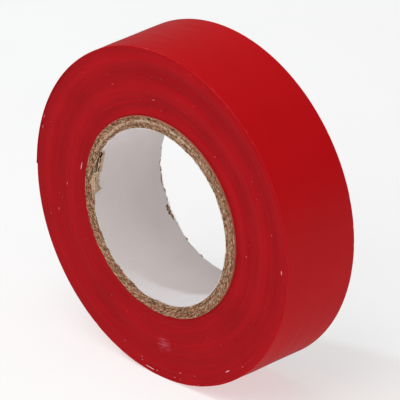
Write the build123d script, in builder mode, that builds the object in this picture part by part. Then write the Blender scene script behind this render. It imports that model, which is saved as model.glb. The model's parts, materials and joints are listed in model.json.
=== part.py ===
from build123d import *
from math import cos, pi, radians, sin
import os

# A roll of insulating tape: one long strip of plasticised film, sticky on its inner side,
# wound on a core cut from a spirally wound board tube.
#
# The roll stands on its rim. Its winding axis is Y, and the origin is on that axis, midway
# across the tape. The core sits a little forward, proud of the tape at the front. Angles
# are measured about the axis from +X towards +Z, and the strip is wound so that its free
# end comes last in that direction.

# Driving dimensions, in millimetres and degrees
tape_width = 19.0
rim_radius = 36.6
film_thickness = 0.11
adhesive_thickness = 0.02

bore_radius = 19.05
core_length = 19.5
core_proud = 0.5  # how far the core stands out of the tape's front side, -Y
lining_thickness = 0.15
ply_thickness = 0.64
ply_seam_angles = (248.0, 335.0, 80.0, 150.0)  # where each seam meets the front end, -Y
seam_gap = 0.25
seam_pitch = 84.0  # a strip 70 mm wide, wound at 34 degrees

free_end_angle = 180.0
root_angle = 135.0  # where the tail leaves the turns that stay stuck down
seat_clearance = 0.03
root_clearance = 0.05

# How finely the rim's climb is drawn, and how far the seam cutter stands out all round
arc_step = 15.0
cutter_margin = 1.0

# Worked out from those
half_width = tape_width / 2
core_front = Plane.XZ.offset(half_width + core_proud)
tape_thickness = film_thickness + adhesive_thickness
core_radius = bore_radius + lining_thickness + len(ply_seam_angles) * ply_thickness
seat_radius = rim_radius - tape_thickness - seat_clearance
tail_sweep = free_end_angle - root_angle
tail_start = root_angle + root_clearance / rim_radius * 180 / pi
arc_count = round((360 - tail_sweep) / arc_step)

os.makedirs("parts", exist_ok=True)


def on_circle(radius, angle):
    # The point at this radius and angle, in the x and y of a sketch on Plane.XZ
    return (radius * cos(radians(angle)), radius * sin(radians(angle)))


def rim_at(angle):
    # The rim climbs evenly from the seat at the free end, round to the root of the tail
    climbed = (angle - free_end_angle) / (360 - tail_sweep)
    return seat_radius + climbed * (rim_radius - seat_radius)


# The white paper that lines the bore
with BuildPart() as core_lining:
    with BuildSketch(core_front):
        Circle(bore_radius + lining_thickness)
        Circle(bore_radius, mode=Mode.SUBTRACT)
    extrude(amount=-core_length)
core_lining.part.label = "core_lining"
export_step(core_lining.part, "parts/core_lining.step")

# The board plies, from the lining outwards. Each was wound on as a helical strip, so in
# this short length it is a ring with one slanting gap, where the strip's edges meet.
for count, seam_angle in enumerate(ply_seam_angles):
    inner_radius = bore_radius + lining_thickness + count * ply_thickness
    cutter_front = core_front.offset(cutter_margin)
    cutter_length = core_length + 2 * cutter_margin
    cutter_start = seam_angle + 360 * cutter_margin / seam_pitch

    with BuildSketch(cutter_front) as seam_end:
        with PolarLocations(inner_radius + ply_thickness / 2, 1, start_angle=cutter_start):
            Rectangle(ply_thickness + 2 * cutter_margin, seam_gap)
    seam_cutter = Solid.extrude_linear_with_rotation(
        seam_end.sketch.face(),
        center=cutter_front.origin,
        normal=(0, cutter_length, 0),
        angle=360 * cutter_length / seam_pitch,
    )

    with BuildPart() as core_ply:
        with BuildSketch(core_front):
            Circle(inner_radius + ply_thickness)
            Circle(inner_radius, mode=Mode.SUBTRACT)
        extrude(amount=-core_length)
        add(seam_cutter, mode=Mode.SUBTRACT)
    core_ply.part.label = f"core_ply_{count + 1}"
    export_step(core_ply.part, f"parts/core_ply_{count + 1}.step")

# All the turns that stay stuck down, with the seat that the tail lies in
with BuildPart() as wound_tape:
    with BuildSketch(Plane.XZ):
        with BuildLine():
            for count in range(arc_count):
                stops = [free_end_angle + (count + part) * arc_step for part in (0, 0.5, 1)]
                ThreePointArc(*(on_circle(rim_at(angle), angle) for angle in stops))
            Line(on_circle(rim_radius, root_angle), on_circle(seat_radius, root_angle))
            CenterArc((0, 0), seat_radius, root_angle, tail_sweep)
        make_face()
        Circle(core_radius, mode=Mode.SUBTRACT)
    extrude(amount=half_width, both=True)
wound_tape.part.label = "wound_tape"
export_step(wound_tape.part, "parts/wound_tape.step")

# The tail, from its root to the free end: the film, and the adhesive coat under it
tail_layers = (
    ("tail_film", rim_radius - film_thickness, rim_radius),
    ("tail_adhesive", rim_radius - tape_thickness, rim_radius - film_thickness),
)
for label, inner_radius, outer_radius in tail_layers:
    with BuildPart() as tail_layer:
        with BuildSketch(Plane.XZ):
            with BuildLine():
                for radius in (inner_radius, outer_radius):
                    CenterArc((0, 0), radius, tail_start, free_end_angle - tail_start)
                for angle in (tail_start, free_end_angle):
                    Line(on_circle(inner_radius, angle), on_circle(outer_radius, angle))
            make_face()
        extrude(amount=half_width, both=True)
    tail_layer.part.label = label
    export_step(tail_layer.part, f"parts/{label}.step")

hinge_x, hinge_z = on_circle(rim_radius, root_angle)
wound_length = pi * (rim_radius**2 - core_radius**2) / tape_thickness / 1000
print(f"core radius {core_radius:.2f} mm, tape {wound_length:.1f} m long")
print(f"peel axis along Y at x {hinge_x:.4f}, z {hinge_z:.4f} mm")
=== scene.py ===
import json
import math

import bpy
import numpy as np
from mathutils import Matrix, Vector


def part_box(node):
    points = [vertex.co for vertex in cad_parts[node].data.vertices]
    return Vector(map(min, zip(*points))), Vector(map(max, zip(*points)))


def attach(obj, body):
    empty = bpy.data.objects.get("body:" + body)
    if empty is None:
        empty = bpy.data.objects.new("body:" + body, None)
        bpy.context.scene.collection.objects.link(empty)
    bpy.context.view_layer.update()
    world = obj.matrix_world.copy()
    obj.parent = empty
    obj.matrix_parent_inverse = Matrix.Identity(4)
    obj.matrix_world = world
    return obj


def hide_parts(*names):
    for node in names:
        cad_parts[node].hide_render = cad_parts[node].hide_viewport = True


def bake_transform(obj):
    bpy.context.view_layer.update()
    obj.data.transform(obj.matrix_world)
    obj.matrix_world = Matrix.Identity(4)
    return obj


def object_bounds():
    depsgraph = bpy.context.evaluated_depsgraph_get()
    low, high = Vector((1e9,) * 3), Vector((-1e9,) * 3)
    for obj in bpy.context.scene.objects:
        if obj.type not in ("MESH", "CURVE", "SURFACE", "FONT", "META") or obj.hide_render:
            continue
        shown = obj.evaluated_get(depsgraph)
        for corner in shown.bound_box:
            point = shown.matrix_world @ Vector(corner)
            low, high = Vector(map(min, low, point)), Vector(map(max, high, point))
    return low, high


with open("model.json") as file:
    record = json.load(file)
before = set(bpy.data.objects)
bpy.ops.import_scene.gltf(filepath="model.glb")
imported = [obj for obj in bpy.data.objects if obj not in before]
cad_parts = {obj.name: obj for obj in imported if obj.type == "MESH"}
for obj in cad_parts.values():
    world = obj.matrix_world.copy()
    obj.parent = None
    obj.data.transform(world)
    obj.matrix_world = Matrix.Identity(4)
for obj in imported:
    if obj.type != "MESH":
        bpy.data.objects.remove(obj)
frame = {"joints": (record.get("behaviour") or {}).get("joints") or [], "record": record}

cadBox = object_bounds()
mm = 0.001

# where things are, read from the frame: the bore lies along Y, the front faces -Y, and Z is up
tapeLow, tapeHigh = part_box("wound_tape")
coreLow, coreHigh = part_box("core_ply_4")
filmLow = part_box("tail_film")[0]
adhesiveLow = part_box("tail_adhesive")[0]
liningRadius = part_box("core_lining")[1].x
plyRadii = [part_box(f"core_ply_{number}")[1].x for number in (1, 2, 3, 4)]
hinge = Vector(frame["joints"][0]["pos_m"])

tapeFront, tapeBack = tapeLow.y, tapeHigh.y
coreFront, coreBack = coreLow.y, coreHigh.y
rimRadius = -filmLow.x
coreRadius = plyRadii[-1]
boreRadius = frame["record"]["mounts"][0]["dims"]["r_mm"] * mm
rootAngle = math.degrees(math.atan2(hinge.z, hinge.x))
endAngle = 180.0  # the free end, halfway up on the -X side
filmThickness = adhesiveLow.x - filmLow.x
adhesiveThickness = 0.02 * mm
tailClearance = 0.03 * mm  # between the adhesive and the turn below it
seatRadius = rimRadius - filmThickness - adhesiveThickness - tailClearance


# plain tools: noise, sections swept round the bore, meshes
def softNoise(rows, columns, rowBlur, columnBlur, seed):
    # grains blurred by so many rows and columns, with a spread of 1, closed on itself both ways
    grains = np.random.RandomState(seed).normal(size=(rows, columns))
    rowWave = np.fft.fftfreq(rows)[:, None] * rowBlur
    columnWave = np.fft.fftfreq(columns)[None, :] * columnBlur
    keep = np.exp(-2 * math.pi**2 * (rowWave**2 + columnWave**2))
    field = np.fft.ifft2(np.fft.fft2(grains) * keep).real
    return field / field.std()


def smooth(value, low, high):
    share = np.clip((value - low) / (high - low), 0, 1)
    return share * share * (3 - 2 * share)


def between(value, low, high, edge):
    # 1 from low to high, falling to 0 over edge outside them
    return smooth(value, low - edge, low) * (1 - smooth(value, high, high + edge))


def evenShares(steps):
    return np.linspace(0, 1, steps)[None, :]


def innerShares(steps):
    # shares between two ends that are made elsewhere
    return np.linspace(0, 1, steps + 2)[None, 1:-1]


def around(angles, radius, depth):
    # angles in degrees from +X towards +Z; returns points with the bore along Y
    turn = np.radians(angles)
    return np.stack([radius * np.cos(turn), depth, radius * np.sin(turn)], axis=-1)


def outline(*parts):
    # part of a section: radius and depth, and in the plies the angle too, for each angle and step
    return np.stack(np.broadcast_arrays(*parts), axis=-1)


def joinSection(front, outer, back, inner):
    # the front end outwards, the outer wall backwards, the back end inwards, the inner wall forwards
    return np.concatenate([front, outer, back, inner], axis=1)


def sweepFaces(stations, points, closed):
    # quads from each section to the next one, and from the last to the first if it is closed
    faces = []
    for station in range(stations if closed else stations - 1):
        here, there = station * points, (station + 1) % stations * points
        for point in range(points):
            after = (point + 1) % points
            faces.append((here + point, here + after, there + after, there + point))
    return faces


def endCaps(stations, points, endSteps, wallSteps):
    # both ends of an open sweep of a joined section, in strips from the outer to the inner wall;
    # a thin strip's section has the two walls alone, and no end steps
    outer = list(range(endSteps, endSteps + wallSteps))
    inner = [points - 1 - step for step in range(wallSteps)]
    backEnd = list(range(endSteps + wallSteps, 2 * endSteps + wallSteps))
    caps = [list(range(endSteps)) + [outer[0], inner[0]]]
    caps += [list(corners) for corners in zip(outer, outer[1:], inner[1:], inner)]
    caps.append([outer[-1]] + backEnd + [inner[-1]])
    faces = []
    for first, order in ((0, -1), ((stations - 1) * points, 1)):
        faces += [tuple(first + index for index in cap[::order]) for cap in caps if len(cap) > 2]
    return faces


def makePiece(name, points, faces, materials, faceKinds=None, paint=None):
    # faceKinds says which material each face has, paint holds values for the materials to read
    sharpAngle = 38  # an edge that turns by more degrees than this stays crisp
    mesh = bpy.data.meshes.new(name)
    mesh.from_pydata(np.asarray(points).reshape(-1, 3).tolist(), [], faces)
    for layer, values in (paint or {}).items():
        mesh.attributes.new(layer, "FLOAT", "POINT").data.foreach_set("value", values.ravel())
    for material in materials:
        mesh.materials.append(material)
    if faceKinds is not None:
        mesh.polygons.foreach_set("material_index", np.asarray(faceKinds, dtype=np.int32))
    mesh.update()
    mesh.shade_smooth()
    mesh.set_sharp_from_angle(angle=math.radians(sharpAngle))
    piece = bpy.data.objects.new(name, mesh)
    bpy.context.scene.collection.objects.link(piece)
    return piece


# camera, floor and lights
studio = {
    "azimuth": 45.07,
    "elevation": 25.44,
    "distance": 1.3576,
    "lens": 599.2,
    "sensor": 36,
    "farthest": 20,
    "aimRight": 8.045 * mm,
    "aimUp": 3.496 * mm,
    "floorHalf": 4.0,
    "floorColour": (0.485, 0.47, 0.455),
    "floorShade": (0.475, 0.46, 0.445),
    "floorGrain": 40,
    "floorRoughness": 0.9,
    "floorGlow": 0.56,  # the floor is a light table
    "worldStrength": 0.20,
}
softboxes = [
    # name, direction it shines from, distance, size, strength on a white card, colour
    ("keySoftbox", (-0.71, -0.24, 0.66), 1.2, 0.08, 0.315, (0.75, 0.94, 1.06)),
    ("frontSoftbox", (0.1, -0.6, 0.8), 1.1, 0.9, 0.41, (1.0, 0.985, 0.98)),
    ("topSoftbox", (0.0, -0.1, 1.0), 1.1, 0.9, 0.20, (1.0, 0.985, 0.98)),
    ("cornerSoftbox", (0.7, -0.7, 0.3), 1.1, 0.9, 0.11, (1.0, 0.985, 0.98)),
]


def makeCamera(scene):
    azimuth, elevation = math.radians(studio["azimuth"]), math.radians(studio["elevation"])
    back = Vector((
        math.sin(azimuth) * math.cos(elevation),
        -math.cos(azimuth) * math.cos(elevation),
        math.sin(elevation),
    ))
    right = Vector((math.cos(azimuth), math.sin(azimuth), 0))
    up = back.cross(right)
    aim = Vector((0, tapeFront, 0)) + right * studio["aimRight"] + up * studio["aimUp"]
    camera = bpy.data.objects.new("camera", bpy.data.cameras.new("camera"))
    camera.data.lens = studio["lens"]
    camera.data.sensor_width = studio["sensor"]
    camera.data.clip_end = studio["farthest"]
    camera.location = aim + back * studio["distance"]
    camera.rotation_euler = back.to_track_quat("Z", "Y").to_euler()
    scene.collection.objects.link(camera)
    scene.camera = camera


def makeFloor():
    half, level = studio["floorHalf"], cadBox[0].z
    corners = [(-half, -half, level), (half, -half, level), (half, half, level), (-half, half, level)]
    floor = makePiece("floor", corners, [(0, 1, 2, 3)], [floorMaterial()])
    floor.visible_glossy = False


def makeLights(scene):
    for name, direction, distance, size, strength, colour in softboxes:
        light = bpy.data.lights.new(name, "AREA")
        light.shape = "DISK"
        light.size = size
        light.energy = strength * math.pi**2 * distance**2
        light.color = colour
        lamp = bpy.data.objects.new(name, light)
        toLamp = Vector(direction).normalized()
        lamp.location = toLamp * distance
        lamp.rotation_euler = toLamp.to_track_quat("Z", "Y").to_euler()
        scene.collection.objects.link(lamp)

    world = bpy.data.worlds.new("studio")
    world.use_nodes = True
    sky = world.node_tree.nodes["Background"]
    sky.inputs["Color"].default_value = (1, 1, 1, 1)
    sky.inputs["Strength"].default_value = studio["worldStrength"]
    scene.world = world


def makeStudio():
    scene = bpy.context.scene
    scene.view_settings.view_transform = "Standard"
    makeCamera(scene)
    makeFloor()
    makeLights(scene)
    print("studio:", len(softboxes), "softboxes")


# materials: noise keeps mostly between 0.3 and 0.7, so its fades start and end near those
class Shader:
    # a material with one principled shader, and short ways to add nodes to it
    def __init__(self, name):
        self.material = bpy.data.materials.new(name)
        self.material.use_nodes = True
        self.nodes = self.material.node_tree.nodes
        self.links = self.material.node_tree.links
        self.skin = self.nodes["Principled BSDF"]

    def feed(self, socket, value):
        # value is another node's output, a number, a place or a colour of three parts
        if isinstance(value, bpy.types.NodeSocket):
            self.links.new(value, socket)
        elif socket.type == "RGBA":
            socket.default_value = (*value, 1)
        else:
            socket.default_value = value

    def add(self, kind, inputs=None, **settings):
        node = self.nodes.new(kind)
        for setting, value in settings.items():
            setattr(node, setting, value)
        for socket, value in (inputs or {}).items():
            self.feed(node.inputs[socket], value)
        return node

    def place(self):
        return self.add("ShaderNodeTexCoord").outputs["Object"]

    def painted(self, layer):
        return self.add("ShaderNodeAttribute", attribute_name=layer).outputs["Fac"]

    def maths(self, operation, first, second=0.0):
        return self.add("ShaderNodeMath", {0: first, 1: second}, operation=operation).outputs[0]

    def polar(self):
        # distance from the bore's axis, the direction round it as a unit vector, and the depth
        apart = self.add("ShaderNodeSeparateXYZ", {0: self.place()})
        flat = self.add("ShaderNodeCombineXYZ", {0: apart.outputs[0], 2: apart.outputs[2]})
        radius = self.add("ShaderNodeVectorMath", {0: flat.outputs[0]}, operation="LENGTH")
        unit = self.add("ShaderNodeVectorMath", {0: flat.outputs[0]}, operation="NORMALIZE")
        return radius.outputs["Value"], unit.outputs["Vector"], apart.outputs[1]

    def combed(self, radialGrain, turnGrain, depthGrain=0.0):
        # a place stretched round the bore: grains per metre outwards, per radian round it, per metre deep
        radius, unit, depth = self.polar()
        heading = self.add("ShaderNodeSeparateXYZ", {0: unit})
        alongX = self.maths("MULTIPLY", heading.outputs[0], turnGrain)
        alongZ = self.maths("MULTIPLY", heading.outputs[2], turnGrain)
        outwards = self.maths("MULTIPLY", radius, radialGrain)
        inwards = self.maths("MULTIPLY", depth, depthGrain)
        skew = 0.73  # parts the places where radius and turn would cancel out
        return self.add("ShaderNodeCombineXYZ", {
            0: self.maths("ADD", outwards, alongX),
            1: self.maths("ADD", inwards, alongZ),
            2: self.maths("MULTIPLY", heading.outputs[0], turnGrain * skew),
        }).outputs[0]

    def noise(self, scale, detail=3.0, roughness=0.5, vector=None):
        # grains per metre, or a scale of 1 over a combed place
        return self.add("ShaderNodeTexNoise", {
            "Vector": self.place() if vector is None else vector,
            "Scale": scale, "Detail": detail, "Roughness": roughness,
        }).outputs["Fac"]

    def fade(self, value, fromLow, fromHigh, toLow=0.0, toHigh=1.0):
        return self.add("ShaderNodeMapRange", {
            "Value": value, "From Min": fromLow, "From Max": fromHigh,
            "To Min": toLow, "To Max": toHigh,
        }).outputs["Result"]

    def mix(self, factor, first, second, blend="MIX"):
        # sockets 6 and 7 are the node's two colours
        node = self.add("ShaderNodeMix", data_type="RGBA", blend_type=blend)
        for socket, value in ((0, factor), (6, first), (7, second)):
            self.feed(node.inputs[socket], value)
        return node.outputs[2]

    def bump(self, height, distance, strength, under=None):
        inputs = {"Height": height, "Distance": distance, "Strength": strength}
        if under is not None:
            inputs["Normal"] = under
        return self.add("ShaderNodeBump", inputs).outputs["Normal"]

    def finish(self, colour, roughness, gloss, normal=None):
        self.feed(self.skin.inputs["Base Color"], colour)
        self.feed(self.skin.inputs["Roughness"], roughness)
        self.skin.inputs["Specular IOR Level"].default_value = gloss
        if normal is not None:
            self.feed(self.skin.inputs["Normal"], normal)
        return self.material


filmFinish = {
    "red": (0.60, 0.0020, 0.0060),
    "deepRed": (0.56, 0.0015, 0.0050),
    "roughness": (0.30, 0.42),
    "gloss": 0.17,
    "cloudGrain": 55,
    "streakGrain": (0, 2.2, 900),  # outwards, round the bore, along it
    "streakHeight": 0.006 * mm,
    "peelGrain": 2600,
    "peelHeight": 0.0025 * mm,
}


def filmMaterial():
    # calendered film: a faint haze and streaks along its length, and very fine orange peel
    shader = Shader("glossyRedFilm")
    cloud = shader.noise(filmFinish["cloudGrain"], 3)
    streak = shader.noise(1, 2, vector=shader.combed(*filmFinish["streakGrain"]))
    colour = shader.mix(shader.fade(cloud, 0.3, 0.7), filmFinish["red"], filmFinish["deepRed"])
    roughness = shader.fade(streak, 0.3, 0.7, *filmFinish["roughness"])
    normal = shader.bump(streak, filmFinish["streakHeight"], 0.5)
    normal = shader.bump(shader.noise(filmFinish["peelGrain"], 2), filmFinish["peelHeight"], 0.5, normal)
    return shader.finish(colour, roughness, filmFinish["gloss"], normal)


# tension bands: the turns stand out and sink back in slow waves, a little off centre
bands = {
    "pitch": 6.2 * mm,
    "bright": 28.1 * mm,  # radius of one of the raised bands
    "drift": 1.7 * mm,  # how far they sit off centre, towards +X
    "fade": (-0.6, 0.4),  # below the first height, in radii, they are faint; above the second, full
    "faintShare": 0.35,
    "overtone": (0.35, 2.17),  # a second wave: its share of the height, and how often it comes
    "wander": 0.35,  # a slow unevenness, as a share of the height
    "height": 0.11 * mm,
    "paintedShading": (0.0255, 0.085),  # how much painted light and shade they add to the colour, low down and above
}

cutFinish = {
    "red": (0.455, 0.0032, 0.0080),
    "darkRed": (0.355, 0.0024, 0.0060),
    "roughness": (0.38, 0.6),
    "gloss": 0.075,
    "turnGrain": (9000, 1.3),  # outwards, round the bore
    "turnTone": (0.88, 1.1),
    "turnHeight": 0.012 * mm,
    "dragGrain": (2600, 4.0),
    "dragShare": 0.6,  # of the red's unevenness; patches make the rest
    "dragHeight": 0.035 * mm,
    "patchGrain": 90,
    # a painted glint: pale pink colour where the grooves would reflect the key light
    "paintedGlint": (0.66, 0.22, 0.33),
    "glintPlace": (272.0, 28.8 * mm),  # angle, radius
    "glintReach": (2.3 * mm, 0.3 * mm),  # nothing beyond the first, full within the second
    "glintGrain": (2400, 14),
    "glintStrength": 0.55,
}


def glintMask(shader):
    # a painted glint low on the front side, where the knife grooves would catch the key light, broken into
    # streaks along the turns
    spot = tuple(around(*cutFinish["glintPlace"], tapeFront))
    near = shader.add("ShaderNodeVectorMath", {0: shader.place(), 1: spot}, operation="DISTANCE")
    streaks = shader.noise(1, 3, 0.6, vector=shader.combed(*cutFinish["glintGrain"]))
    inside = shader.fade(near.outputs["Value"], *cutFinish["glintReach"])
    broken = shader.fade(streaks, 0.42, 0.70, 0.0, cutFinish["glintStrength"])
    return shader.maths("MULTIPLY", inside, broken)


def bandShading(shader):
    # painted light on the raised bands and painted shade in the sunken ones, in step with their relief
    radius, unit = shader.polar()[:2]
    heading = shader.add("ShaderNodeSeparateXYZ", {0: unit})
    centre = shader.maths("MULTIPLY", heading.outputs[0], bands["drift"])
    paintedShading = shader.fade(heading.outputs[2], *bands["fade"], *bands["paintedShading"])
    fromBright = shader.maths("SUBTRACT", shader.maths("SUBTRACT", radius, bands["bright"]), centre)
    turned = shader.maths("MULTIPLY", fromBright, 2 * math.pi / bands["pitch"])
    return shader.maths("MULTIPLY", shader.maths("COSINE", turned), paintedShading)


def cutMaterial():
    # the knife-cut side: every turn shows as a fine line, with drag marks along the cut
    shader = Shader("knifeCutRedSide")
    turns = shader.noise(1, 2, vector=shader.combed(*cutFinish["turnGrain"]))
    drag = shader.noise(1, 4, 0.65, vector=shader.combed(*cutFinish["dragGrain"]))
    patch = shader.noise(cutFinish["patchGrain"], 2)
    dragPart = shader.maths("MULTIPLY", drag, cutFinish["dragShare"])
    patchPart = shader.maths("MULTIPLY", patch, 1 - cutFinish["dragShare"])
    cloud = shader.maths("ADD", dragPart, patchPart)
    colour = shader.mix(shader.fade(cloud, 0.35, 0.65), cutFinish["darkRed"], cutFinish["red"])
    # the turn lines are the film's own; the bands add painted light and shade
    turnLinesAndShading = shader.maths("ADD", shader.fade(turns, 0.25, 0.75, *cutFinish["turnTone"]), bandShading(shader))
    grey = shader.add("ShaderNodeCombineColor", {0: turnLinesAndShading, 1: turnLinesAndShading, 2: turnLinesAndShading}).outputs[0]
    colour = shader.mix(1.0, colour, grey, "MULTIPLY")
    # painted glint of the key light, mixed into the side's colour
    colour = shader.mix(glintMask(shader), colour, cutFinish["paintedGlint"])
    roughness = shader.fade(drag, 0.3, 0.7, *cutFinish["roughness"])
    normal = shader.bump(drag, cutFinish["dragHeight"], 0.6)
    normal = shader.bump(turns, cutFinish["turnHeight"], 0.6, normal)
    return shader.finish(colour, roughness, cutFinish["gloss"], normal)


adhesiveFinish = {
    "clear": (0.27, 0.006, 0.01),
    "milky": (0.36, 0.012, 0.02),
    "roughness": (0.16, 0.34),
    "gloss": 0.5,
    "peakGrain": 1500,
    "peakHeight": 0.02 * mm,
}


def adhesiveMaterial():
    # a clear tacky coat over the red film, pulled into tiny peaks where it has been peeled
    shader = Shader("tackyAdhesive")
    peaks = shader.noise(adhesiveFinish["peakGrain"], 4, 0.6)
    colour = shader.mix(shader.fade(peaks, 0.35, 0.7), adhesiveFinish["clear"], adhesiveFinish["milky"])
    roughness = shader.fade(peaks, 0.3, 0.7, *adhesiveFinish["roughness"])
    normal = shader.bump(peaks, adhesiveFinish["peakHeight"], 0.5)
    return shader.finish(colour, roughness, adhesiveFinish["gloss"], normal)


boardFinish = {
    "brown": (0.325, 0.132, 0.074),
    "olive": (0.247, 0.142, 0.070),
    "pale": (0.65, 0.455, 0.30),
    "dark": (0.040, 0.023, 0.014),
    # painted red bounce light from the tape
    "redBounce": (0.44, 0.165, 0.115),
    "torn": (0.62, 0.44, 0.30),
    "glue": (0.72, 0.53, 0.38),
    # painted shade: near black, for the pits, the crack, the gaps and the dark patches
    "paintedShade": (0.006, 0.003, 0.002),
    "warmth": {1: -0.05, 2: 0.03, 3: 0.14, 4: 0.16},  # each ply's brown: more red, less green and blue
    "warmthShift": (0.3, -1, -1),
    "bounceWidth": (0.12 * mm, 0.02 * mm),  # inside the tape, the painted red bounce light starts and is full
    "fibreGrain": (3500, 27, 3400),  # outwards, round the bore, along it
    "fibreHeight": 0.12 * mm,
    "speckGrain": 3000,
    "speckHeight": 0.06 * mm,
    "blotchGrain": 900,
    "roughness": 0.9,
    "gloss": 0.04,
}


def boardMaterial(number):
    # recycled board, cut across: short fibres laid round the tube, pale and dark specks
    shader = Shader(f"woundBoard{number}")
    pale, dark, warmth = boardFinish["pale"], boardFinish["dark"], boardFinish["warmth"][number]
    grain = shader.noise(1, 3, 0.6, vector=shader.combed(*boardFinish["fibreGrain"]))
    specks = shader.noise(boardFinish["speckGrain"], 2, 0.5)
    blotch = shader.noise(boardFinish["blotchGrain"], 2)
    shifts = zip(boardFinish["brown"], boardFinish["warmthShift"])
    brown = tuple(part * (1 + warmth * shift) for part, shift in shifts)
    colour = shader.mix(shader.fade(blotch, 0.42, 0.60), brown, boardFinish["olive"])
    colour = shader.mix(shader.painted("torn"), colour, boardFinish["torn"])
    colour = shader.mix(shader.fade(grain, 0.515, 0.65), colour, pale)
    colour = shader.mix(shader.fade(grain, 0.455, 0.33), colour, dark)
    colour = shader.mix(shader.fade(specks, 0.38, 0.32), colour, dark)
    colour = shader.mix(shader.fade(specks, 0.61, 0.68), colour, pale)
    # painted red light, bounced off the tape, on the outside edge of the tube
    bounceFrom, bounceFull = boardFinish["bounceWidth"]
    bounceShare = shader.fade(shader.polar()[0], coreRadius - bounceFrom, coreRadius - bounceFull)
    colour = shader.mix(bounceShare, colour, boardFinish["redBounce"])
    broken = shader.fade(shader.noise(boardFinish["blotchGrain"], 3), 0.34, 0.52)
    glue = shader.maths("MULTIPLY", shader.painted("glue"), broken)
    colour = shader.mix(glue, colour, boardFinish["glue"])
    # painted shade wherever the shade layer is set
    colour = shader.mix(shader.painted("shade"), colour, boardFinish["paintedShade"])
    normal = shader.bump(grain, boardFinish["fibreHeight"], 0.8)
    normal = shader.bump(specks, boardFinish["speckHeight"], 0.6, normal)
    return shader.finish(colour, boardFinish["roughness"], boardFinish["gloss"], normal)


liningFinish = {
    "white": (0.775, 0.715, 0.705),
    "grey": (0.745, 0.685, 0.675),
    "fleck": (0.66, 0.60, 0.59),
    "toothGrain": 2200,
    "toothHeight": 0.015 * mm,
    "cloudGrain": 160,
    "roughness": 0.8,
    "gloss": 0.25,
}


def liningMaterial():
    # thin white paper, a little grey, with a soft fibrous tooth
    shader = Shader("whiteLiningPaper")
    tooth = shader.noise(liningFinish["toothGrain"], 4, 0.6)
    cloud = shader.noise(liningFinish["cloudGrain"], 3)
    colour = shader.mix(shader.fade(cloud, 0.35, 0.65), liningFinish["white"], liningFinish["grey"])
    colour = shader.mix(shader.fade(tooth, 0.62, 0.74), colour, liningFinish["fleck"])
    normal = shader.bump(tooth, liningFinish["toothHeight"], 0.5)
    return shader.finish(colour, liningFinish["roughness"], liningFinish["gloss"], normal)


sliverFinish = {
    # pale, red: the longer slivers are stretched most, so they are the palest
    "palePinkSliver": ((0.95, 0.58, 0.58), (0.88, 0.34, 0.36)),
    "stretchedRedSliver": ((0.78, 0.22, 0.25), (0.62, 0.06, 0.08)),
    "grain": 2400,
    "roughness": 0.45,
    "gloss": 0.3,
}


def sliverMaterial(name):
    # film that the knife stretched until it turned pale
    shader = Shader(name)
    patches = shader.fade(shader.noise(sliverFinish["grain"], 2), 0.35, 0.65)
    colour = shader.mix(patches, *sliverFinish[name])
    return shader.finish(colour, sliverFinish["roughness"], sliverFinish["gloss"])


def floorMaterial():
    shader = Shader("paleFloor")
    cloud = shader.fade(shader.noise(studio["floorGrain"], 2), 0.4, 0.6)
    colour = shader.mix(cloud, studio["floorColour"], studio["floorShade"])
    shader.skin.inputs["Emission Color"].default_value = (1, 1, 1, 1)
    shader.skin.inputs["Emission Strength"].default_value = studio["floorGlow"]
    return shader.finish(colour, studio["floorRoughness"], 0.0)


# the wound tape
wound = {
    "angleSteps": 720,
    "sideRings": 56,
    "rimSteps": 24,
    "wallSteps": 3,
    "edgeRound": 0.11 * mm,
    "edgeTurns": (22.5, 45, 67.5),  # degrees, the points that round the edge
    "coreFade": 0.6 * mm,  # the relief grows from nothing at the core over this
    "knifeHeight": 0.018 * mm,
    "nickDepth": 0.10 * mm,
    "nickRarity": 0.8,  # the noise makes a nick only where it is over this
    "nickShape": (0.6, 0.8),  # how much of a nick comes off the rim, and off the side
    "tremble": 0.012 * mm,
    "nickShift": 97,  # the back edge has the same nicks, so many steps further round
    "hoopHeight": 0.012 * mm,
    "hoopWander": 0.8,
    "rootStep": 0.02,  # degrees that the step under the tail's root takes
}


def rimAt(angles):
    # angles run on from the tail's root, 135, through the free end, 180, to the root again, 495
    climbed = np.clip((angles - endAngle) / (rootAngle + 360 - endAngle), 0, 1)
    return seatRadius + climbed * (rimRadius - seatRadius)


def sideRelief(angles, radius, seed):
    # how far the side stands out of its plane: tension bands, then knife marks
    turn = np.radians(angles)[:, None]
    turned = 2 * math.pi * (radius - bands["bright"] - bands["drift"] * np.cos(turn)) / bands["pitch"]
    share, often = bands["overtone"]
    wave = np.cos(turned) + share * np.cos(often * turned)
    faint = bands["faintShare"]
    wave = wave * (faint + (1 - faint) * smooth(np.sin(turn), *bands["fade"]))
    slow = softNoise(*radius.shape, 60, 2.2, seed)
    marks = softNoise(*radius.shape, 26, 0.55, seed + 1)
    return bands["height"] * (wave + bands["wander"] * slow) + wound["knifeHeight"] * marks


def edgeNicks(count):
    # the knife leaves little nicks along the film's edges
    nicks = np.clip(softNoise(count, 1, 1.3, 1, seed=5) - wound["nickRarity"], 0, 2)
    return nicks * wound["nickDepth"] + softNoise(count, 1, 2.5, 1, seed=6) * wound["tremble"]


def rimHoops(count):
    # faint hoops round the rim, most of them wandering along it, and none near its edges
    steps, height = wound["rimSteps"], wound["hoopHeight"]
    hoops = softNoise(1, steps, 1, 2.2, seed=8) * height
    hoops = hoops + softNoise(count, steps, 30, 3.0, seed=9) * height * wound["hoopWander"]
    return hoops * between(evenShares(steps), 0.08, 0.92, 0.08)


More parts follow.
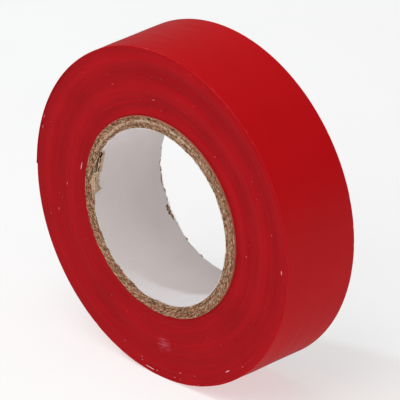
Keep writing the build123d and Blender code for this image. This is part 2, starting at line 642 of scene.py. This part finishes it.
def makeWoundTape():
    angles = np.linspace(rootAngle, rootAngle + 360, wound["angleSteps"] + 1)
    angles[0] += wound["rootStep"]
    angles[-1] -= wound["rootStep"]
    count = len(angles)
    rim = rimAt(angles)[:, None]
    edge = wound["edgeRound"]
    shoulder = rim - edge
    radius = coreRadius + evenShares(wound["sideRings"]) * (shoulder - coreRadius)
    fadeIn = smooth(radius, coreRadius, coreRadius + wound["coreFade"])
    frontSide = tapeFront - sideRelief(angles, radius, seed=11) * fadeIn
    backSide = tapeBack + sideRelief(angles, radius, seed=23) * fadeIn

    nicks = edgeNicks(count)
    backNicks = np.roll(nicks, wound["nickShift"], axis=0)
    offRim, offSide = wound["nickShape"]
    curve = np.radians([wound["edgeTurns"]])
    edgeOut, edgeDepth = edge * np.sin(curve), edge * (1 - np.cos(curve))
    rimDepth = tapeFront + edge + evenShares(wound["rimSteps"]) * (tapeBack - tapeFront - 2 * edge)
    wallDepth = tapeBack - innerShares(wound["wallSteps"]) * (tapeBack - tapeFront)

    front = outline(radius, frontSide)
    frontEdge = outline(
        shoulder + edgeOut - nicks * offRim,
        frontSide[:, -1:] + edgeDepth + nicks * offSide,
    )
    rimWall = outline(rim + rimHoops(count), rimDepth)
    backEdge = outline(
        shoulder + edgeOut[:, ::-1] - backNicks * offRim,
        backSide[:, -1:] - edgeDepth[:, ::-1],
    )
    back = outline(radius, backSide)[:, ::-1]
    inner = outline(np.full_like(rim, coreRadius), wallDepth)
    section = np.concatenate([front, frontEdge, rimWall, backEdge, back, inner], axis=1)
    points = around(angles[:, None], section[..., 0], section[..., 1])
    total = section.shape[1]
    faces = sweepFaces(count, total, closed=True)
    filmFrom, filmTo = front.shape[1] - 1, total - back.shape[1] - inner.shape[1]
    kinds = [0 if filmFrom <= point < filmTo else 1 for point in range(total)] * count
    piece = makePiece("woundTape", points, faces, [skins["film"], skins["cut"]], kinds)
    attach(piece, "roll")
    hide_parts("wound_tape")
    print("wound tape:", len(faces), "faces")


# the tail: the free end of the strip, with its adhesive under it
tail = {
    "angleSteps": 110,
    "acrossSteps": 26,
    "edgeInset": 0.03 * mm,
    "bendLength": 11 * mm,
    "endLift": 0.03 * mm,
    "cornerLift": 0.05 * mm,
    "cornerPower": 6,  # a higher one keeps the lift nearer to the corners
    "liftLength": 3.0,  # degrees of the strip that have sprung up at the free end
}


def makeTailLayer(name, node, bottom, top, material):
    angles = np.linspace(rootAngle, endAngle, tail["angleSteps"])[:, None]
    share = evenShares(tail["acrossSteps"])
    lifted = np.clip((angles - endAngle + tail["liftLength"]) / tail["liftLength"], 0, 1) ** 2
    corners = np.abs(2 * share - 1) ** tail["cornerPower"]
    lift = lifted * (tail["endLift"] + tail["cornerLift"] * corners)
    inset = tail["edgeInset"]
    depth = tapeFront + inset + share * (tapeBack - tapeFront - 2 * inset)
    outer = outline(top + lift, depth)
    inner = outline(bottom + lift, depth)[:, ::-1]
    section = np.concatenate([outer, inner], axis=1)
    points = around(angles, section[..., 0], section[..., 1])
    size = section.shape[:2]
    faces = sweepFaces(*size, closed=False) + endCaps(*size, 0, tail["acrossSteps"])
    piece = makePiece(name, points, faces, [material])
    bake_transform(piece)
    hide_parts(node)


def makeTail():
    under = rimRadius - filmThickness
    makeTailLayer("tailFilm", "tail_film", under, rimRadius, skins["film"])
    makeTailLayer(
        "tailAdhesive", "tail_adhesive", under - adhesiveThickness, under,
        skins["adhesive"],
    )
    print("tail: film and adhesive, bending over", round(tail["bendLength"] / mm), "mm")


# the core: four board plies and the paper lining
core = {
    "angleSteps": 720,
    "endSteps": 11,
    "wallSteps": 26,
    "seamPitch": 84 * mm,
    "seamGap": 0.25 * mm,
    "seamAngles": (248, 335, 80, 150),
    "plyGap": 0.008 * mm,  # each face of a ply keeps this far from the line between two plies
    "fibreHeight": 0.065 * mm,
    "fibreShares": (0.6, 0.7),  # single fibres, clumps
    "fibreLimit": 1.6,
    "plyGroove": 0.10 * mm,
    "burr": (0.07 * mm, 0.20 * mm),  # the cut leaves the bore's edges ragged, front and back
    "waver": 0.045 * mm,
    "edgeWaver": 0.05 * mm,
    "liningWaver": 0.012 * mm,
    "bulgeShares": (0, 0.6, 1, 0.5),  # how much of a bulge each line between plies takes
    # from, to, how far: where the plies were pushed outwards, and inwards
    "bulges": ((62, 112, 0.30 * mm), (128, 166, -0.28 * mm)),
    "bulgeEase": (8, 14),  # degrees inside its ends where a bulge is full, and that it fades over
    "tearSpan": (149, 172),  # degrees, where the wall behind the flap is in the dark
    "tearDepth": 6,  # in steps of the wall
    "rawSpan": (163, 184),  # where the front end is torn, not cut
    "tornTone": 0.9,
    "rawTone": 0.6,
    "backShade": (204, 220),  # where patches of painted shade darken the torn board at the back of the bore
    "backShadeDepth": 3,
    # pale glue between the second and third plies, from, to and edge: clear here
    "glueClear": (68, 146, 12),
    "glueFaint": (10, 130, 20),  # and faint here, counted from glueStart
    "glueStart": -60,
    "glueFaintShare": 0.3,
}
crack = {
    # it runs outwards from the bore into the innermost ply
    "from": 157,
    "to": 169,
    "depth": 0.3 * mm,
    "climb": 0.5,  # how far across the ply it gets
    "width": 0.15,  # as a share of the ply
    "swell": 0.07,
    "swells": 2.5,
}
pits = {
    # angle, radius in mm: small holes in the core's front end, with painted shade in them
    "placed": (
        (78.7, 21.5), (98, 21.35), (147.2, 20.95), (152.2, 21.1), (264.4, 19.9), (287.8, 20.0),
    ),
    "size": 0.21 * mm,
    "depth": 0.3 * mm,
    "chanceCount": 42,
    "chanceSize": (0.05, 0.10),  # mm
    "margins": (0.4 * mm, 0.2 * mm),  # none so near to the bore, or to the tape
    "stretch": 1.7,  # round the bore
    "darkness": 0.9,
}


def boreNoise(angles, blur, seed):
    # noise all round the bore, blurred by so many half degrees, read at these angles
    values = softNoise(720, 1, blur, 1, seed)[:, 0]
    steps = np.arange(len(values) + 1) * 360 / len(values)
    return np.interp(angles % 360, steps, np.append(values, values[0]))


def plyBoundary(number, angles):
    # the wavering line between two plies, numbered by the inner one
    broad = boreNoise(angles, 6, seed=40 + number)
    fine = boreNoise(angles, 1.4, seed=46 + number)
    if number == 0:
        return liningRadius + core["liningWaver"] * np.abs(fine)
    if number == 4:
        return coreRadius - core["edgeWaver"] * np.clip(0.6 * (broad + fine), 0, 3)
    shift = core["waver"] * broad
    share = core["bulgeShares"][number]
    inset, ease = core["bulgeEase"]
    for start, stop, amount in core["bulges"]:
        shift = shift + share * amount * between(angles % 360, start + inset, stop - inset, ease)
    return plyRadii[number - 1] + shift


def glueLine(number, angles, endShare):
    # 1 where glue shows on the ply's end: at the outer edge of ply 2, and the inner one of ply 3
    side = {2: endShare, 3: 1 - endShare}.get(number, 0 * endShare)
    clear = between(angles % 360, *core["glueClear"])
    faint = between((angles - core["glueStart"]) % 360, *core["glueFaint"])
    return side ** 3 * np.maximum(clear, core["glueFaintShare"] * faint)


def crackLine(angles, endShare):
    along = (angles % 360 - crack["from"]) / (crack["to"] - crack["from"])
    middle = crack["climb"] * np.clip(along, 0, 1)
    wide = crack["width"] + crack["swell"] * np.cos(2 * math.pi * crack["swells"] * along)
    across = 1 - smooth(np.abs(endShare - middle), wide * 0.5, wide)
    return between(along, 0.02, 0.98, 0.04) * across  # closing at both ends


def pitMask(angles, radius):
    # the first few pits are placed, the rest fall by chance
    chance = np.random.RandomState(150)
    inside, outside = pits["margins"]
    holes = [(angle, spot * mm, pits["size"]) for angle, spot in pits["placed"]]
    for _ in range(pits["chanceCount"]):
        spot = chance.uniform(boreRadius + inside, coreRadius - outside)
        holes.append((chance.uniform(0, 360), spot, chance.uniform(*pits["chanceSize"]) * mm))
    mask = 0 * radius
    for angle, spot, size in holes:
        apart = np.radians((angles - angle + 180) % 360 - 180) * spot / (size * pits["stretch"])
        mask = np.maximum(mask, np.exp(-apart**2 - ((radius - spot) / size) ** 2))
    return mask


def plyAngles(number, depth):
    # a ply is a wound strip, so its edges, and the seam between them, run round as they go back
    gapTurn = math.degrees(core["seamGap"] / plyRadii[number - 1])
    turn = np.linspace(gapTurn / 2, 360 - gapTurn / 2, core["angleSteps"])[:, None]
    seam = core["seamAngles"][number - 1]
    return turn + seam - 360 * (depth - coreFront) / core["seamPitch"]


def plyEnd(number, depth, outward, seed):
    # outward is -1 at the front end and 1 at the back
    angles = plyAngles(number, depth)
    endShare = evenShares(core["endSteps"])
    low = plyBoundary(number - 1, angles) + core["plyGap"]
    high = plyBoundary(number, angles) - core["plyGap"]
    single = softNoise(core["angleSteps"], core["endSteps"], 1.6, 0.7, seed)
    clumps = softNoise(core["angleSteps"], core["endSteps"], 7, 2.5, seed + 1)
    groove = np.abs(2 * endShare - 1) ** 4 * core["plyGroove"]
    groove = groove * (1 - glueLine(number, angles, endShare))
    singleShare, clumpShare = core["fibreShares"]
    fuzz = np.minimum(single * singleShare + clumps * clumpShare, core["fibreLimit"])
    height = core["fibreHeight"] * fuzz - groove
    radius = low + endShare * (high - low)
    if number == 1:
        burr = np.clip(softNoise(core["angleSteps"], 1, 1.1, 1, seed + 2), 0, 2)
        height = height + core["burr"][outward > 0] * burr * (1 - endShare) ** 3
    if outward < 0:
        height = height - pits["depth"] * pitMask(angles, radius)
    if number == 1 and outward < 0:
        height = height - crack["depth"] * crackLine(angles, endShare)
    return outline(radius, depth + outward * height, angles)


def plyPaint(number, front, inner):
    # how much glue, torn board and painted shade each point of the section shows
    ends, walls = core["endSteps"], core["wallSteps"]
    endShare = evenShares(ends)
    radius, angles = front[..., 0], front[..., 2]
    glue, torn, shade = np.zeros((3, core["angleSteps"], 2 * ends + 2 * walls))
    glue[:, :ends] = glueLine(number, angles, endShare)
    # painted shade in the pits
    shade[:, :ends] = pits["darkness"] * pitMask(angles, radius)
    if number == 1:
        torn[:, -walls:] = core["tornTone"]
        torn[:, :ends] = core["rawTone"] * between(angles % 360, *core["rawSpan"], 4)
        # painted shade in the crack
        shade[:, :ends] = np.maximum(shade[:, :ends], crackLine(angles, endShare))
        # the inner wall runs forwards, so its first steps are at the back
        innerAngles, innerShade = inner[..., 2] % 360, shade[:, -walls:]
        nearFront, nearBack = -core["tearDepth"], core["backShadeDepth"]
        innerShade[:, nearFront:] = between(innerAngles[:, nearFront:], *core["tearSpan"], 1)
        # patches of painted shade at the back of the bore
        holes = smooth(softNoise(core["angleSteps"], nearBack, 1.2, 1, seed=79), -0.7, 0.2)
        innerShade[:, :nearBack] = holes * between(innerAngles[:, :nearBack], *core["backShade"], 3)
    return {"glue": glue, "torn": torn, "shade": shade}


def makePly(number):
    front = plyEnd(number, coreFront, -1, 60 + number * 4)
    back = plyEnd(number, coreBack, 1, 62 + number * 4)[:, ::-1]
    depth = coreFront + innerShares(core["wallSteps"]) * (coreBack - coreFront)
    angles = plyAngles(number, depth)
    outer = outline(plyBoundary(number, angles) - core["plyGap"], depth, angles)
    inner = outline(plyBoundary(number - 1, angles) + core["plyGap"], depth, angles)[:, ::-1]
    section = joinSection(front, outer, back, inner)
    points = around(section[..., 2], section[..., 0], section[..., 1])
    size = section.shape[:2]
    faces = sweepFaces(*size, closed=False) + endCaps(*size, core["endSteps"], core["wallSteps"])
    paint = plyPaint(number, front, inner)
    piece = makePiece(f"corePly{number}", points, faces, [skins[f"board{number}"]], paint=paint)
    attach(piece, "roll")
    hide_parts(f"core_ply_{number}")


lining = {
    "angleSteps": 720,
    "wallSteps": 30,
    # from, to, how deep: the places where the paper is torn away
    "frontTears": ((151, 183, 1.45 * mm), (266, 287, 0.28 * mm), (84, 97, 0.12 * mm)),
    "backTears": ((208, 219.5, 0.95 * mm), (187, 200, 0.42 * mm), (232, 240, 0.35 * mm)),
    "fray": (0.20 * mm, 0.34 * mm),  # front and back
    "frayShares": (0.35, 0.5),  # fine and coarse
    "tearShares": (0.85, 0.16, 0.14),  # even, fine and coarse
    "tearEase": (1, 1.6),  # degrees inside its ends where a tear is full, and that it fades over
    "glueGap": 0.01 * mm,  # between the paper and the board
    "softness": 0.012 * mm,
    "lapAngle": 60,
    "lapWidth": 9.0,  # degrees
    "lapHeight": 0.08 * mm,
}


def tornEdge(angles, tears, fray, seed):
    # how far the paper stops short of the core's end
    fine = boreNoise(angles, 1.0, seed)
    coarse = boreNoise(angles, 5, seed + 1)
    fineFray, coarseFray = lining["frayShares"]
    even, fineTear, coarseTear = lining["tearShares"]
    inset, ease = lining["tearEase"]
    short = np.clip(fineFray * np.abs(fine) + coarseFray * coarse, 0, 2) * fray
    ragged = np.clip(even + fineTear * fine + coarseTear * coarse, 0.2, 1.3)
    for start, stop, deep in tears:
        short = short + between(angles % 360, start + inset, stop - inset, ease) * deep * ragged
    return short


def makeLining():
    angles = np.linspace(0, 360, lining["angleSteps"], endpoint=False)[:, None]
    frontFray, backFray = lining["fray"]
    front = coreFront + tornEdge(angles, lining["frontTears"], frontFray, seed=81)
    back = coreBack - tornEdge(angles, lining["backTears"], backFray, seed=85)
    depth = front + evenShares(lining["wallSteps"]) * (back - front)
    # the paper strip's edges overlap along a spiral, in step with the board's seams
    lap = angles - lining["lapAngle"] + 360 * (depth - coreFront) / core["seamPitch"]
    lapped = between((lap + 180) % 360 - 180, -lining["lapWidth"] / 2, lining["lapWidth"] / 2, 0.5)
    soft = softNoise(*depth.shape, 14, 4, seed=91) * lining["softness"]
    outer = outline(liningRadius - lining["glueGap"], depth)
    inner = outline(boreRadius - lapped * lining["lapHeight"] + soft, depth)[:, ::-1]
    section = np.concatenate([outer, inner], axis=1)
    points = around(angles, section[..., 0], section[..., 1])
    faces = sweepFaces(*section.shape[:2], closed=True)
    piece = makePiece("coreLining", points, faces, [skins["lining"]])
    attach(piece, "roll")
    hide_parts("core_lining")


def makeCore():
    for number in (1, 2, 3, 4):
        makePly(number)
    makeLining()
    print("core: four plies and the lining")


flap = {
    "from": 147.5,
    "to": 183.5,
    "fullSpan": (166, 180.5),  # where it has its whole thickness and depth
    "angleSteps": 150,
    "endSteps": 6,
    "wallSteps": 7,
    "thickness": 0.42 * mm,
    "thinShare": 0.3,  # of its thickness, at its ends
    "unevenThickness": 0.12,
    "depth": 1.15 * mm,
    "shallowShare": 0.35,  # of its depth, at its ends
    "unevenDepth": (0.10, 0.08),  # fine and coarse
    "frontSlope": 0.12 * mm,  # the front face sinks back this far at its ends
    "ragged": 0.03 * mm,
    "fuzz": 0.035 * mm,
    "sideFuzz": 0.02 * mm,
    "leastGap": 0.012 * mm,
    "gaps": ((151.5, 155, 0.58 * mm), (157.5, 160.5, 0.36 * mm), (162, 167, 0.52 * mm)),
    "marks": ((156.5, 158.5), (162, 165.5)),  # painted shade of splits on the edge that leans inwards
    "markFront": (0.9, 0.9, 0.3),  # how dark the painted shade is, outwards from that edge on the front face
    "markSide": (0.2, 0.6, 0.9),  # and towards it along the side
    "tornTone": 0.9,
}


def flapPaint(angles, total):
    ends, walls = flap["endSteps"], flap["wallSteps"]
    torn = np.full((flap["angleSteps"], total), flap["tornTone"])
    shade = 0 * torn
    shade[:, ends:ends + walls] = 1  # painted shade on the side that faces the gap
    for start, stop in flap["marks"]:
        split = between(angles, start, stop, 0.8)
        shade[:, :3] = np.maximum(shade[:, :3], split * flap["markFront"])
        shade[:, -3:] = np.maximum(shade[:, -3:], split * flap["markSide"])
    return {"glue": 0 * torn, "torn": torn, "shade": shade}


def makeFlap():
    # a strip of the innermost ply has come away where the tube was cut, and leans into the bore
    steps, ends, walls = flap["angleSteps"], flap["endSteps"], flap["wallSteps"]
    angles = np.linspace(flap["from"], flap["to"], steps)[:, None]
    fullFrom, fullTo = flap["fullSpan"]
    grow = smooth(angles, flap["from"], fullFrom) * (1 - smooth(angles, fullTo, flap["to"]))
    fine = softNoise(steps, 1, 1.2, 1, seed=101)
    coarse = softNoise(steps, 1, 6, 1, seed=102)
    gapWidth = flap["leastGap"] * (1 - fine)
    for start, stop, wide in flap["gaps"]:
        gapWidth = gapWidth + wide * between(angles, start, stop, 1.6)
    outerRadius = liningRadius - gapWidth
    thick = flap["thinShare"] + (1 - flap["thinShare"]) * grow
    thick = flap["thickness"] * thick * (1 + flap["unevenThickness"] * coarse)
    innerRadius = outerRadius - thick
    front = coreFront - flap["ragged"] * (1 - fine) + flap["frontSlope"] * (1 - grow)
    deep = flap["shallowShare"] + (1 - flap["shallowShare"]) * grow
    fineShare, coarseShare = flap["unevenDepth"]
    back = coreFront + flap["depth"] * deep * (1 + fineShare * fine + coarseShare * coarse)
    radius = innerRadius + evenShares(ends) * (outerRadius - innerRadius)
    fuzz = softNoise(steps, ends, 1.3, 0.8, seed=103) * flap["fuzz"]
    roughness = softNoise(steps, walls, 1.3, 0.8, seed=104) * flap["sideFuzz"]
    depth = front + innerShares(walls) * (back - front)
    section = joinSection(
        outline(radius, front + fuzz),
        outline(outerRadius, depth),
        outline(radius, back + fuzz)[:, ::-1],
        outline(innerRadius + roughness, depth)[:, ::-1],
    )
    points = around(angles, section[..., 0], section[..., 1])
    size = section.shape[:2]
    faces = sweepFaces(*size, closed=False) + endCaps(*size, ends, walls)
    paint = flapPaint(angles, section.shape[1])
    piece = makePiece("tornFlap", points, faces, [skins["board1"]], paint=paint)
    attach(piece, "roll")
    print("torn flap at the front of the bore")


fibres = {
    # number, from, to, and how far they reach, for the front and the back of the bore
    "front": (
        (70, 0, 360, 0.22 * mm), (70, 116, 150, 0.50 * mm), (60, 148, 184, 0.45 * mm),
        (24, 264, 290, 0.30 * mm),
    ),
    "back": ((260, 0, 360, 0.42 * mm), (110, 186, 206, 0.55 * mm), (90, 206, 224, 0.95 * mm)),
    "thickness": 0.06 * mm,
    "taper": 0.35,
    "steps": 4,
    "corners": 3,
    "rootDepth": 0.04 * mm,
    "rootSpread": (-0.1, 0.25),  # mm, outwards from the lining
    # the least and most of each, drawn by chance
    "heading": ((0.0, 0.7), (-0.3, 1.0), (-1.2, 1.2)),  # out of the end, into the bore, round it
    "curl": ((-0.8, 0.8), (0, 0.9)),  # round the bore, back towards the end
    "curlShare": 0.6,
    "length": (0.4, 1.0),  # of the reach
}


def addFibre(points, faces, chance, angle, side, reach):
    # a paper fibre at an end of the bore, rooted in the board and curling out of it
    turn = math.radians(angle)
    radius = liningRadius + chance.uniform(*fibres["rootSpread"]) * mm
    depth = (coreFront if side < 0 else coreBack) - side * fibres["rootDepth"]
    outward = Vector((math.cos(turn), 0, math.sin(turn)))
    along = Vector((-math.sin(turn), 0, math.cos(turn)))
    axis = Vector((0, side, 0))
    start = outward * radius + Vector((0, depth, 0))
    endways, inwards, sideways = [chance.uniform(*span) for span in fibres["heading"]]
    heading = (axis * endways - outward * inwards + along * sideways).normalized()
    sideways, back = [chance.uniform(*span) for span in fibres["curl"]]
    curl = (along * sideways - axis * back) * reach * fibres["curlShare"]
    length = reach * chance.uniform(*fibres["length"])
    first, steps, corners = len(points), fibres["steps"], fibres["corners"]
    for step in range(steps + 1):
        share = step / steps
        centre = start + heading * length * share + curl * share * share
        wide = fibres["thickness"] * (0.5 - fibres["taper"] * share)
        for corner in range(corners):
            swing = 2 * math.pi * corner / corners
            points.append(tuple(centre + outward * wide * math.cos(swing) + axis * wide * math.sin(swing)))
    for step in range(steps):
        here, there = first + step * corners, first + (step + 1) * corners
        for corner in range(corners):
            after = (corner + 1) % corners
            faces.append((here + corner, there + corner, there + after, here + after))
    faces.append(tuple(first + corner for corner in range(corners)))
    faces.append(tuple(first + steps * corners + corner for corner in reversed(range(corners))))


def makeFibres():
    chance = np.random.RandomState(140)
    points, faces = [], []
    for side, groups in ((-1, fibres["front"]), (1, fibres["back"])):
        for number, start, stop, reach in groups:
            for _ in range(number):
                addFibre(points, faces, chance, chance.uniform(start, stop), side, reach)
    perFibre = fibres["steps"] * fibres["corners"] + 2
    kinds = [index // perFibre % 2 for index in range(len(faces))]  # board and paper by turns
    piece = makePiece("frayedFibres", points, faces, [skins["board2"], skins["lining"]], kinds)
    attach(piece, "roll")
    print("frayed fibres:", len(faces) // perFibre)


flakes = {
    # radius in mm, angle in degrees, length along the turn in mm: slivers left on the front side
    "long": ((23.3, 170, 1.7), (35.45, 265.2, 2.5), (34.3, 304.8, 1.5), (34.7, 359, 0.9)),
    "short": (
        (25.8, 94, 0.7), (28.9, 118, 0.5), (35.9, 161, 0.6), (35.6, 165, 0.7), (27.3, 183, 0.5),
        (30.8, 195, 0.4), (33.6, 197, 0.4), (33.3, 252, 0.4), (34.0, 280, 0.6), (34.2, 287, 0.5),
        (35.0, 313, 0.5), (24.8, 359, 0.4), (32.6, 12, 0.4), (24.6, 50, 0.4),
        (35.3, 277, 0.5), (35.5, 279.6, 0.4), (36.3, 286, 0.6), (36.1, 288, 0.4), (34.0, 261, 0.4),
        (34.7, 261.3, 0.5), (35.3, 268.6, 0.5),
    ),
    "width": 0.15 * mm,
    "thickness": 0.035 * mm,
    "lift": 0.08 * mm,
    "overBands": 1.2,  # times the bands' height, and then the clearance, above the side
    "clearance": 0.02 * mm,
    "topShare": 0.8,  # the upper face is narrower
    "steps": 5,
    "dust": 70,
    "dustLength": (0.08, 0.3),  # mm
    "dustWidth": (0.03, 0.07),
    "dustLift": 0.03 * mm,
    "dustMargins": (0.8 * mm, 0.4 * mm),  # none so near to the core, or to the rim
}


def addFlake(points, faces, radius, angle, length, width, lift, side):
    # a thin sliver lying along the turns, its ends tapered and one of them sprung up
    steps, first = flakes["steps"], len(points)
    face = tapeFront if side < 0 else tapeBack
    bottom = bands["height"] * flakes["overBands"] + flakes["clearance"]
    for step in range(steps + 1):
        share = step / steps
        turn = math.radians(angle) + (share - 0.5) * length / radius
        half = width * 0.5 * (0.25 + math.sin(math.pi * (0.12 + 0.76 * share)))  # blunt at its ends
        narrow = half * flakes["topShare"]
        low = bottom + lift * share * share
        high = low + flakes["thickness"]
        for out, up in ((-half, low), (half, low), (narrow, high), (-narrow, high)):
            spot = radius + out
            points.append((spot * math.cos(turn), face + side * up, spot * math.sin(turn)))
    for step in range(steps):
        here, there = first + step * 4, first + step * 4 + 4
        for corner in range(4):
            after = (corner + 1) % 4
            faces.append((here + corner, here + after, there + after, there + corner))
    faces.append(tuple(first + corner for corner in (3, 2, 1, 0)))
    faces.append(tuple(first + steps * 4 + corner for corner in range(4)))


def makeFlakes():
    chance = np.random.RandomState(120)
    points, faces = [], []
    for radius, angle, length in flakes["long"] + flakes["short"]:
        addFlake(points, faces, radius * mm, angle, length * mm, flakes["width"], flakes["lift"], -1)
    inside, outside = flakes["dustMargins"]
    for number in range(flakes["dust"]):
        radius = chance.uniform(coreRadius + inside, rimRadius - outside)
        side = -1 if number % 3 else 1  # one in three lies on the back
        length = chance.uniform(*flakes["dustLength"]) * mm
        width = chance.uniform(*flakes["dustWidth"]) * mm
        angle = chance.uniform(0, 360)
        addFlake(points, faces, radius, angle, length, width, flakes["dustLift"], side)
    perFlake = 4 * flakes["steps"] + 2
    longFaces = perFlake * len(flakes["long"])
    kinds = [0 if index < longFaces else 1 for index in range(len(faces))]
    piece = makePiece("filmSlivers", points, faces, [skins["longSliver"], skins["shortSliver"]], kinds)
    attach(piece, "roll")
    print("film slivers:", len(faces) // perFlake)


skins = {
    "film": filmMaterial(),
    "cut": cutMaterial(),
    "adhesive": adhesiveMaterial(),
    "lining": liningMaterial(),
    "longSliver": sliverMaterial("palePinkSliver"),
    "shortSliver": sliverMaterial("stretchedRedSliver"),
}
for number in (1, 2, 3, 4):
    skins[f"board{number}"] = boardMaterial(number)
print("materials:", len(skins))

makeStudio()
makeWoundTape()
makeTail()
makeCore()
makeFlap()
makeFibres()
makeFlakes()
